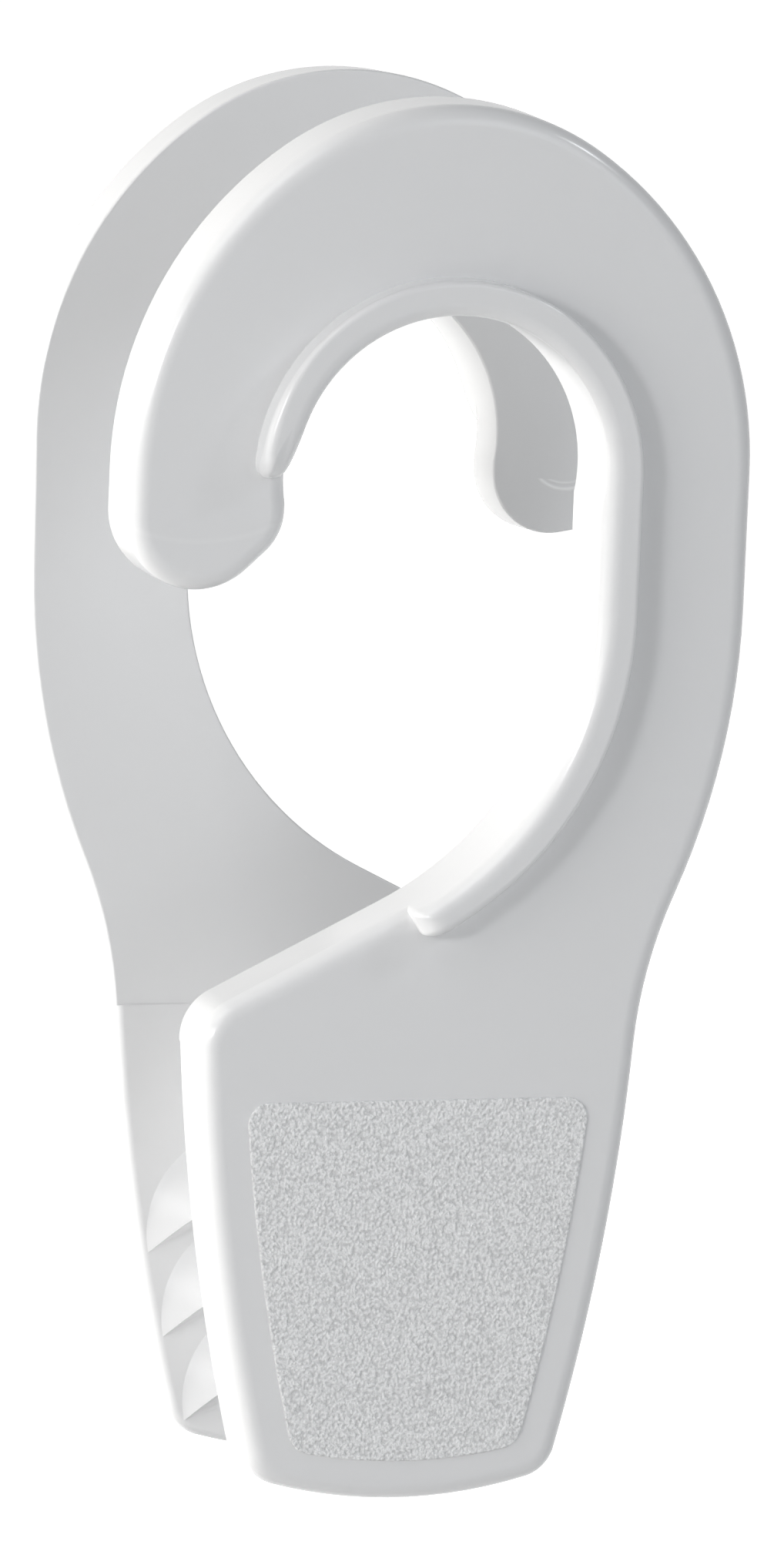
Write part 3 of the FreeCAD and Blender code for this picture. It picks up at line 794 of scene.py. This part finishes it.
@dataclass(frozen=True)
class Plastic:
    """White moulded plastic, polished or grained.

    Attributes:
        name: The material's name.
        colour: Base colour; on the grain, the painted highlight of its raised bumps.
        shade: The slightly darker tone of the slow waves; on the grain, painted shade in its
            hollows.
        speck: Colour of the specks.
        arc: Paler colour of the arcs that the mould left, a painted highlight on the ejector mark.
        gloss: Middle roughness of the polished finish.
        grain: Depth of the moulded grain, or 0 for none.
        arcs: For each arc, how much paler and higher it is, and its group's inputs.
    """

    name: str
    colour: Triple = (0.80, 0.803, 0.81)
    shade: Triple = (0.785, 0.788, 0.796)
    speck: Triple = (0.35, 0.30, 0.24)
    arc: Triple = (0.93, 0.935, 0.935)
    gloss: float = 0.22
    grain: float = 0.0
    arcs: tuple[tuple[float, dict[str, float]], ...] = ()

    WAVES = {"Scale": 38.0, "Spread": 0.04}
    WAVE_DEPTH, WAVE_STRENGTH = 0.05, 0.3
    GRAIN_SCALE = 3600.0
    SPECKS = {"Spacing": 160.0, "Size": 0.035, "Share": 0.05}
    ARC_HEIGHT = 0.04
    REFRACTION = 1.5

    def material(self, groups: dict[str, Tree]) -> Material:
        """Build the material.

        Args:
            groups: The shared node groups by name.

        Returns:
            The finished material.
        """
        material = bpy.data.materials.new(self.name)
        material.use_nodes = True
        graph = Graph(material.node_tree)
        place = graph.add("ShaderNodeTexCoord").outputs["Object"]
        waves = graph.group(groups["waves"], Vector=place, Gloss=self.gloss, **self.WAVES)
        normal = graph.bump(waves["Height"], self.WAVE_DEPTH, self.WAVE_STRENGTH)
        tint, rough = waves["Tint"], waves["Roughness"]
        if self.grain:
            grain = graph.group(groups["grain"], Vector=place, Scale=self.GRAIN_SCALE)
            normal = graph.bump(grain["Height"], self.grain, Normal=normal)
            tint, rough = grain["Tint"], grain["Roughness"]
        specks = graph.group(groups["specks"], Vector=place, **self.SPECKS)
        # On the grain this mix is painted light and shade: pale on raised bumps, dark in hollows;
        # on polished plastic it is the waves' tone.
        colour = graph.mix(tint, self.shade, self.colour)
        colour = graph.mix(specks["Mask"], colour, self.speck)
        for lift, inputs in self.arcs:
            sizes = {name: value * MM for name, value in inputs.items()}
            mask = graph.group(groups["arcs"], Vector=place, **sizes)["Mask"]
            share = graph.math("MULTIPLY", mask, lift)
            # The arcs' paler colour; on the ejector mark it is a painted highlight of the lower
            # arc.
            colour = graph.mix(share, colour, self.arc)
            normal = graph.bump(share, self.ARC_HEIGHT, Normal=normal)
        shader = material.node_tree.nodes["Principled BSDF"]
        inputs = {"Base_Color": colour, "Roughness": rough, "Normal": normal}
        graph.feed(shader, IOR=self.REFRACTION, **inputs)
        return material


POLISHED = Plastic(
    "polished_white_plastic",
    arcs=(
        # Two bands of the ejector mark's lower arc, paler as a painted highlight, and a faint flow
        # line on the front tip.
        (1.0, dict(Across=19.1, Up=-1.45, Level=10.22, Radius=3.1, Width=0.2, Sag=2.2)),
        (0.6, dict(Across=19.1, Up=-0.95, Level=10.22, Radius=3.1, Width=0.14, Sag=2.75)),
        (0.16, dict(Across=-20.16, Up=10.79, Level=-16.6, Radius=15.95, Width=0.35, Sag=14.6)),
    ),
)
# The grained panel: its pale colour is a painted highlight on the raised grain, its shade painted
# shade in the hollows.
GRAINED = Plastic(
    "grained_white_plastic", colour=(0.99, 0.993, 1.0), shade=(0.705, 0.708, 0.715), grain=0.2
)


def mesh_of(name: str, shells: list[list[Patch]]) -> bpy.types.Mesh:
    """Join patches into one mesh in metres and keep each corner's own normal.

    Points of one shell closer than the weld distance become one vertex. A face
    that loses a corner by that is kept with the corners it has left, from
    three up.

    Args:
        name: The mesh's name.
        shells: The closed shells of the mesh, each a list of patches.

    Returns:
        The mesh.
    """
    patches = [patch for shell in shells for patch in shell]
    owner = [np.full(len(patch.points), i) for i, shell in enumerate(shells) for patch in shell]
    points = np.concatenate([patch.points for patch in patches])
    keys = np.column_stack([np.round(points / WELD), np.concatenate(owner)]).astype(np.int64)
    _, first, number = np.unique(keys, axis=0, return_index=True, return_inverse=True)
    number = number.ravel()
    corners, normals, counts, shift = [], [], [], 0
    for patch in patches:
        ids = number[patch.faces + shift]
        keep = ids != np.roll(ids, -1, axis=1)
        left = keep.sum(axis=1)
        keep &= (left >= 3)[:, None]
        corners.append(ids[keep])
        normals.append(patch.normals[patch.faces[keep]])
        counts.append(left[left >= 3])
        shift += len(patch.points)
    loops, counts = np.concatenate(corners), np.concatenate(counts)
    mesh = bpy.data.meshes.new(name)
    mesh.vertices.add(len(first))
    mesh.vertices.foreach_set("co", (points[first] * MM).astype(np.float32).ravel())
    mesh.loops.add(len(loops))
    mesh.loops.foreach_set("vertex_index", loops.astype(np.int32))
    mesh.polygons.add(len(counts))
    mesh.polygons.foreach_set("loop_start", (np.cumsum(counts) - counts).astype(np.int32))
    mesh.polygons.foreach_set("use_smooth", np.ones(len(counts), dtype=bool))
    mesh.update(calc_edges=True)
    mesh.normals_split_custom_set(np.concatenate(normals).tolist())
    return mesh


def make_object(name: str, data: bpy.types.ID) -> bpy.types.Object:
    """Put a mesh, lamp or camera into the scene.

    Args:
        name: The object's name.
        data: What it shows.

    Returns:
        The object.
    """
    made = bpy.data.objects.new(name, data)
    bpy.context.scene.collection.objects.link(made)
    return made


def make_piece(
    name: str, shells: list[list[Patch]], material: Material, side: Side | None = None
) -> None:
    """Put shells into the scene as a piece that rides on the hanger's body.

    Args:
        name: The piece's name, to which its side's is added.
        shells: Its shells, on the upright plate or, with no side, in the part's frame.
        material: Its material.
        side: The plate that it belongs to, or None.
    """
    if side is not None:
        name = f"{side.name.lower()}_{name}"
        shells = [[patch.placed(side) for patch in shell] for shell in shells]
    mesh = mesh_of(name, shells)
    mesh.materials.append(material)
    piece = make_object(name, mesh)
    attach(piece, BODY)
    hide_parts(NODE)
    log.info("%s: %d faces", name, len(mesh.polygons))


@dataclass(frozen=True)
class Rim:
    """The rim of one plate: a band with a soft inner edge, a crisp outer one and round ends.

    A place on the band is given by its way along the band's middle line and
    its distance across from the inner edge.

    Attributes:
        sizes: The driving sizes.
        step: Distance between neighbouring points along the band.
        corners: Reach along and across of the corners seen from the front: the
            far end's outer one, the start's outer and inner ones, and the far
            end's inner one.
    """

    sizes: Sizes = SIZES
    step: float = 0.6
    corners: tuple[Pair, ...] = ((1.2, 0.9), (1.4, 0.9), (4.2, 1.45), (0.6, 0.4))

    CORNER_POINTS = 10
    TOP_POINTS = 13

    def lengths(self) -> Quad:
        """Radii of the middle line's arcs, and the ways where its straight run starts and ends.

        Returns:
            The radii round the seat and round the throat, and the two ways.
        """
        s = self.sizes
        seat, throat = s.throat_half_width + s.rim_width / 2, s.throat_radius + s.rim_width / 2
        return seat, throat, math.pi * seat, math.pi * seat + s.throat_drop

    def plan(self, place: Array) -> Array:
        """Points across and up for places on the band.

        Round the seat a point is radius x (cos, sin) with radius = half width +
        across and turn = pi - along / middle radius; then it goes straight
        down, and then round the throat's centre in the same way. A point
        inside the seat's bore is moved out to the bore.

        Args:
            place: Along and across, as the last axis.

        Returns:
            Across and up from the seat's centre, as the last axis.
        """
        s = self.sizes
        seat, throat, first, second = self.lengths()
        along, across = place[..., 0], place[..., 1]
        turn = math.pi - np.minimum(along, first) / seat
        reach, wide = s.throat_half_width + across, s.throat_radius + across
        x = reach * np.cos(turn)
        z = reach * np.sin(turn) - np.clip(along - first, 0, s.throat_drop)
        bend = -np.maximum(along - second, 0) / throat
        x = np.where(along > second, s.throat_half_width - s.throat_radius + wide * np.cos(bend), x)
        z = np.where(along > second, wide * np.sin(bend) - s.throat_drop, z)
        out = np.maximum(s.seat_radius / np.maximum(np.hypot(x, z), WELD), 1)
        return np.stack([x * out, z * out], axis=-1)

    def width(self, along: Array, length: float) -> Array:
        """Width of the band at ways along its length; it slims towards the far end."""
        s = self.sizes
        return s.rim_width - s.rim_end_slim * smooth_step((along - length) / s.rim_slim_run + 1)

    def edge(self, length: float) -> Array:
        """Places round the band's edge: a rectangle with a quarter ellipse at each corner.

        A corner's point is its centre plus (reach along x cos t, reach across
        x sin t), and the runs between the corners are straight. Then each
        place's distance across is scaled to the band's width there.

        Args:
            length: Length of the band's middle line.

        Returns:
            Along and across of each point, with no point twice.
        """
        width, rounds, parts = self.sizes.rim_width, [], []
        for quarter, (along, across) in enumerate(self.corners):
            far, outer = quarter in (0, 3), quarter < 2
            centre = (length - along if far else along, width - across if outer else across)
            turn = np.radians(np.linspace(0, 90, self.CORNER_POINTS) + 90 * quarter)
            reach = np.stack([along * np.cos(turn), across * np.sin(turn)], axis=1)
            rounds.append(np.array(centre) + reach)
        for here, following in zip(rounds, rounds[1:] + rounds[:1]):
            gap = following[0] - here[-1]
            fine = self.step if abs(gap[0]) > abs(gap[1]) else self.step / 4
            share = np.linspace(0, 1, math.ceil(float(np.hypot(*gap)) / fine) + 1)[1:-1, None]
            parts += [here, here[-1] + share * gap]
        places = np.concatenate(parts)
        places[:, 1] *= self.width(places[:, 0], length) / width
        return places

    def ring(self) -> tuple[Array, Array, Array]:
        """Edge of the band, the line where its flat top ends, and the round between them.

        The line is the edge's place held back from the sides by their rounds
        and from the ends by the ends' reach. Towards both ends the outer round
        grows to a softer one, and towards the rim's start the reach grows
        inwards, so that the end falls off like a finger's. Where the way from
        line to edge is (a, b), the round is side + (end - side) x a^2 / (a^2 +
        b^2).

        Returns:
            Places of the edge and of the line, and radii, one row each.
        """
        s = self.sizes
        inner, end = s.rim_inner_round, s.rim_end_round
        _, throat, _, second = self.lengths()
        length = second + throat * math.radians(s.rim_end_turn)
        edge = self.edge(length)
        along, across = edge[:, 0], edge[:, 1]
        near = smooth_step((np.minimum(along, length - along) - end) / s.rim_soft_run)
        outer = s.rim_outer_round + (s.rim_end_soft - s.rim_outer_round) * (1 - near)
        width = self.width(along, length)
        held = np.clip(across, inner, width - outer)
        share = (held - inner) / (width - outer - inner)
        start = s.rim_start_reach + share * (end - s.rim_start_reach)
        line = np.stack([np.clip(along, start, length - end), held], axis=1)
        gap = (edge - line) ** 2
        side = np.where(across > width / 2, outer, inner)
        return edge, line, side + (end - side) * gap[:, 0] / gap.sum(axis=1)

    def surface(self) -> list[Patch]:
        """The rim's closed surface, from inside the plate up to its flat top.

        With p from 0 at the top's line to 1 at the edge, a point is line +
        p (edge - line), lower than the top by radius x (1 - sqrt(1 - p^2)).
        From the edge a wall goes straight down to the root.

        Returns:
            The patches of the surface on the upright plate.
        """
        s = self.sizes
        edge, line, radius = self.ring()
        top, root = -s.plate_thickness - s.rim_height, s.edge_round - s.plate_thickness
        turn = np.radians(np.linspace(0, 90, self.TOP_POINTS))[:, None]
        places = line + np.sin(turn)[..., None] * (edge - line)
        levels = top + radius * (1 - np.cos(turn))
        plan = self.plan(np.concatenate([places, edge[None]]))
        points = in_space(plan, np.concatenate([levels, np.full((1, len(edge)), root)]))
        away = np.broadcast_to(self.plan(edge) - self.plan(line), plan.shape)
        outward = np.append(-np.ones(self.TOP_POINTS), 0.0)[:, None]
        normals = grid_normals(points, in_space(away, outward), wrap=True)
        normals[0] = (0.0, -1.0, 0.0)
        return capped(points, normals)

    def build(self, side: Side, polished: Material) -> None:
        """Make a plate's rim of the polished material."""
        make_piece("rim", [self.surface()], polished, side)


@dataclass(frozen=True)
class Jaws:
    """The two toothed jaws on the inner face of one plate."""

    side: Side
    sizes: Sizes = SIZES

    FAN_POINTS = 65
    RAMP_POINTS = 15

    def tooth(self, hand: int, number: int) -> list[Patch]:
        """One tooth: a cone's ramp that ends in a sharp crest over a hollow face.

        With f along the tooth's foot line and s square to it, the ramp is the
        cone h = H (1 - r / R) round its apex. The crest is where h = s, which
        is a quadratic in s for each f. Below it the face falls to the foot
        line as crest height x (s / crest)^hollow. Short walls go down from
        the foot line and the cone's edge to a flat bottom inside the plate.

        Args:
            hand: -1 for the left jaw and 1 for the right one.
            number: 0 for the highest tooth.

        Returns:
            The tooth's closed surface on the upright plate.
        """
        z = self.sizes
        level = -z.tooth_drop - number * z.tooth_pitch
        edge = PlateOutlines(self.side).jaw_edge(level)
        origin = np.array([hand * (edge - z.tooth_margin), level])
        turn = math.radians(z.tooth_foot_angle)
        foot = np.array([-hand * math.cos(turn), math.sin(turn)])
        rise = np.array([hand * math.sin(turn), math.cos(turn)])
        radius, height = z.tooth_radius, z.tooth_height
        apex = polar((0, 0), radius, z.tooth_bearing - z.tooth_foot_angle)

        f = apex[0] * (1 - np.cos(np.radians(np.linspace(0, 180, self.FAN_POINTS))))[None, :]
        square = (f - apex[0]) ** 2
        a = (radius / height) ** 2 - 1
        b = -2 * radius**2 / height + 2 * apex[1]
        c = radius**2 - square - apex[1] ** 2
        crest = np.maximum((-b - np.sqrt(np.maximum(b**2 - 4 * a * c, 0))) / (2 * a), 0)
        far = np.maximum(apex[1] + np.sqrt(np.maximum(radius**2 - square, 0)), 0)

        def points_at(s: Array, h: Array | float) -> Array:
            """Points over the jaw's face for distances from the foot line and heights."""
            return in_space(origin + f[..., None] * foot + s[..., None] * rise, z.jaw_step + h)

        share = np.linspace(0, 1, self.RAMP_POINTS)[:, None]
        ramp_s = crest + share * (far - crest)
        ramp_h = height * (1 - np.sqrt(square + (ramp_s - apex[1]) ** 2) / radius)
        low = points_at(share * crest, crest * share**z.tooth_hollow)
        ramp = points_at(ramp_s, np.maximum(ramp_h, 0))
        near_wall = np.concatenate([low[:1], points_at(0 * crest, -z.tooth_bury)])
        far_wall = np.concatenate([ramp[-1:], points_at(far, -z.tooth_bury)])
        outward, up = np.array([0.0, 1.0, 0.0]), in_space(rise, 0.0)
        patches = [
            grid_patch(part, grid_normals(part, way))
            for part, way in ((low, outward), (ramp, outward), (near_wall, -up), (far_wall, up))
        ]
        bottom = np.concatenate([near_wall[1], far_wall[1, -2:0:-1]])
        return [*patches, cap_patch(bottom, (0, -1, 0))]

    def build(self, polished: Material) -> None:
        """Make the jaws' piece of the polished material."""
        teeth = [self.tooth(hand, number) for hand in (-1, 1) for number in range(TEETH_PER_JAW)]
        make_piece("jaws", teeth, polished, self.side)


@dataclass(frozen=True)
class HookPlate:
    """One plate with its rim and thumb panel."""

    side: Side
    sizes: Sizes = SIZES

    def body(self) -> list[list[Patch]]:
        """The hook, with fine inner edges, on the grip, which stands a step into the gap.

        Returns:
            The two closed shells on the upright plate.
        """
        s, outlines = self.sizes, PlateOutlines(self.side)
        low = (-s.plate_thickness, s.edge_round)
        hook = slab(outlines.hook(), False, (0.0, s.arris), low)
        return [hook, slab(outlines.grip(), False, (s.jaw_step, s.jaw_soft), low)]

    def panel(self) -> list[list[Patch]]:
        """The thumb panel, a little proud of the outer face.

        Returns:
            Its closed shell on the upright plate.
        """
        s = self.sizes
        high = (s.edge_round - s.plate_thickness, 0.0)
        low = (-s.plate_thickness - s.panel_height, s.panel_round)
        return [slab(PlateOutlines(self.side).panel(), True, high, low)]

    def build(self, polished: Material, grained: Material) -> None:
        """Make the plate's pieces.

        Args:
            polished: Material of the plate and its rim.
            grained: Material of the thumb panel.
        """
        make_piece("plate", self.body(), polished, self.side)
        Rim().build(self.side, polished)
        make_piece("panel", self.panel(), grained, self.side)


@dataclass(frozen=True)
class Web:
    """The web that joins the plates and carries the line."""

    sizes: Sizes = SIZES

    SPAN_POINTS = 7

    def surface(self) -> list[Patch]:
        """The web's outline carried across the gap, flared at both plates.

        At a distance d from a plate, closer than the blend radius r, it stands
        out by r - sqrt(r^2 - (r - d)^2), which is a quarter round.

        Returns:
            The patches of the surface in the part's frame.
        """
        s = self.sizes
        places, normals, _ = PlateOutlines(Side.FRONT).web().sampled(True)
        depth = s.half_gap - s.jaw_step + places[:, 1] * math.tan(math.radians(s.splay))
        near = s.web_blend * (1 - np.cos(np.radians(np.linspace(0, 90, QUARTER_POINTS))))
        from_plate = np.concatenate([[-s.web_bury], near])[:, None]
        share = np.linspace(1, -1, self.SPAN_POINTS)[1:-1, None]
        span = (depth - s.web_blend) * share
        level = np.concatenate([depth - from_plate, span, from_plate[::-1] - depth])
        short = np.clip(s.web_blend - (depth - np.abs(level)), 0, s.web_blend)
        flare = s.web_blend - np.sqrt(s.web_blend**2 - short**2)
        points = in_space(places + normals * flare[..., None], level)
        facing = np.broadcast_to(in_space(normals, 0.0), points.shape)
        return capped(points, grid_normals(points, facing, wrap=True))

    def build(self, polished: Material) -> None:
        """Make the web's piece of the polished material."""
        make_piece("web", [self.surface()], polished)


@dataclass(frozen=True)
class PhotoCamera:
    """The photograph's camera, aimed from the left and a little above.

    The lens and the sensor's width are the camera's own millimetres, and the
    clip range is in metres.
    """

    azimuth: float = 18.018
    elevation: float = 7.957
    roll: float = -1.81
    distance: float = 1134.5
    target: Triple = (0.447, -4.052, -26.58)
    lens: float = 323.6
    sensor: float = 36.0
    clip: Pair = (0.05, 50.0)

    def build(self) -> None:
        """Make the camera.

        Its axes are the level camera's right and up turned by the roll, and it
        stands back from its target by the distance.
        """
        a, e, r = (math.radians(v) for v in (self.azimuth, self.elevation, self.roll))
        right = np.array([math.cos(a), -math.sin(a), 0.0])
        ahead = np.array([math.sin(a) * math.cos(e), math.cos(a) * math.cos(e), -math.sin(e)])
        up = np.array([math.sin(a) * math.sin(e), math.cos(a) * math.sin(e), math.cos(e)])
        across = math.cos(r) * right - math.sin(r) * up
        upward = math.sin(r) * right + math.cos(r) * up
        place = (np.array(self.target) - ahead * self.distance) * MM
        rows = np.stack([across, upward, -ahead, place], axis=1).tolist()
        data = bpy.data.cameras.new("photo_camera")
        data.lens, data.sensor_width = self.lens, self.sensor
        data.clip_start, data.clip_end = self.clip
        camera = make_object("photo_camera", data)
        camera.matrix_world = Matrix([*rows, (0, 0, 0, 1)])
        bpy.context.scene.camera = camera


@dataclass(frozen=True)
class Softbox:
    """A square area lamp that looks at the hanger's middle."""

    name: str
    azimuth: float
    elevation: float
    size: float
    power: float
    colour: Triple
    distance: float = 900.0
    target: Triple = (0.0, 0.0, -27.0)

    def build(self) -> None:
        """Make the lamp on a sphere round its target, facing it."""
        a, e = math.radians(self.azimuth), math.radians(self.elevation)
        out = np.array([math.sin(a) * math.cos(e), -math.cos(a) * math.cos(e), math.sin(e)])
        data = bpy.data.lights.new(self.name, "AREA")
        data.shape, data.size, data.energy = "SQUARE", self.size * MM, self.power
        data.color = self.colour
        lamp = make_object(self.name, data)
        lamp.rotation_mode = "QUATERNION"
        lamp.location = (out * self.distance + np.array(self.target)) * MM
        lamp.rotation_quaternion = Vector(out).to_track_quat("Z", "Y")


@dataclass(frozen=True)
class Studio:
    """Pale floor, soft lamps and a white world."""

    floor_drop: float = 175.0
    floor_reach: float = 3000.0
    floor_colour: Triple = (0.86, 0.86, 0.86)
    floor_roughness: float = 0.9
    floor_glow: float = 0.90
    world_level: float = 0.10
    warm: Triple = (1.0, 0.985, 0.95)
    plain: Triple = (0.985, 0.99, 1.0)
    cool: Triple = (0.93, 0.965, 1.0)

    WHITE = (1.0, 1.0, 1.0, 1.0)

    def shown_in(self, graph: Graph) -> object:
        """A mask that is 1 for what is seen directly, in gloss or through something clear.

        Args:
            graph: The node tree that the mask is for.

        Returns:
            The mask's output.
        """
        seen = graph.add("ShaderNodeLightPath").outputs
        direct = graph.math("MAXIMUM", seen["Is Camera Ray"], seen["Is Transmission Ray"])
        return graph.math("MAXIMUM", direct, seen["Is Glossy Ray"])

    def floor(self) -> None:
        """A flat pale floor under the hanger."""
        r, level = self.floor_reach, -self.floor_drop
        ring = np.array([(-r, -r, level), (r, -r, level), (r, r, level), (-r, r, level)])
        mesh = mesh_of("floor", [[cap_patch(ring, (0, 0, 1))]])
        material = bpy.data.materials.new("pale_floor")
        material.use_nodes = True
        graph = Graph(material.node_tree)
        strength = graph.math("MULTIPLY", self.shown_in(graph), self.floor_glow)
        shader = material.node_tree.nodes["Principled BSDF"]
        graph.feed(shader, Base_Color=(*self.floor_colour, 1), Roughness=self.floor_roughness)
        graph.feed(shader, Emission_Color=self.WHITE, Emission_Strength=strength)
        mesh.materials.append(material)
        floor = make_object("floor", mesh)

    def world(self) -> None:
        """A world that is plain white where it is seen, and dim as light."""
        world = bpy.data.worlds.new("studio_world")
        world.use_nodes = True
        bpy.context.scene.world = world
        graph = Graph(world.node_tree)
        extra = graph.math("MULTIPLY", self.shown_in(graph), 1.0 - self.world_level)
        level = graph.math("ADD", extra, self.world_level)
        graph.feed(world.node_tree.nodes["Background"], Color=self.WHITE, Strength=level)

    def build(self) -> None:
        """Make the floor, the world, the lamps and the camera."""
        self.floor()
        self.world()
        for lamp in (
            Softbox("high_key", -60.0, 50.0, 500.0, 1.35, self.plain),
            Softbox("near_key", -50.0, 13.0, 150.0, 1.7, self.plain),
            Softbox("low_key", -70.0, 12.0, 400.0, 1.6, self.warm),
            Softbox("side", -107.0, 12.0, 300.0, 5.4, self.warm),
            Softbox("fill", 32.0, 20.0, 500.0, 1.2, self.cool),
            Softbox("glint", 64.0, 38.0, 60.0, 0.8, self.cool),
        ):
            lamp.build()
        PhotoCamera().build()


def main() -> None:
    """Load the solid, build the hanger's looks and the studio, and report the pieces."""
    logging.basicConfig(level=logging.INFO, format="%(name)s %(message)s")
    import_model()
    bpy.context.scene.view_settings.view_transform = "Standard"
    groups = {
        "waves": moulding_group(),
        "specks": speck_group(),
        "grain": grain_with_painted_relief_group(),
        "arcs": arc_group(),
    }
    polished, grained = POLISHED.material(groups), GRAINED.material(groups)
    for side in Side:
        HookPlate(side).build(polished, grained)
        Jaws(side).build(polished)
    Web().build(polished)
    Studio().build()


if __name__ == "__main__":
    main()
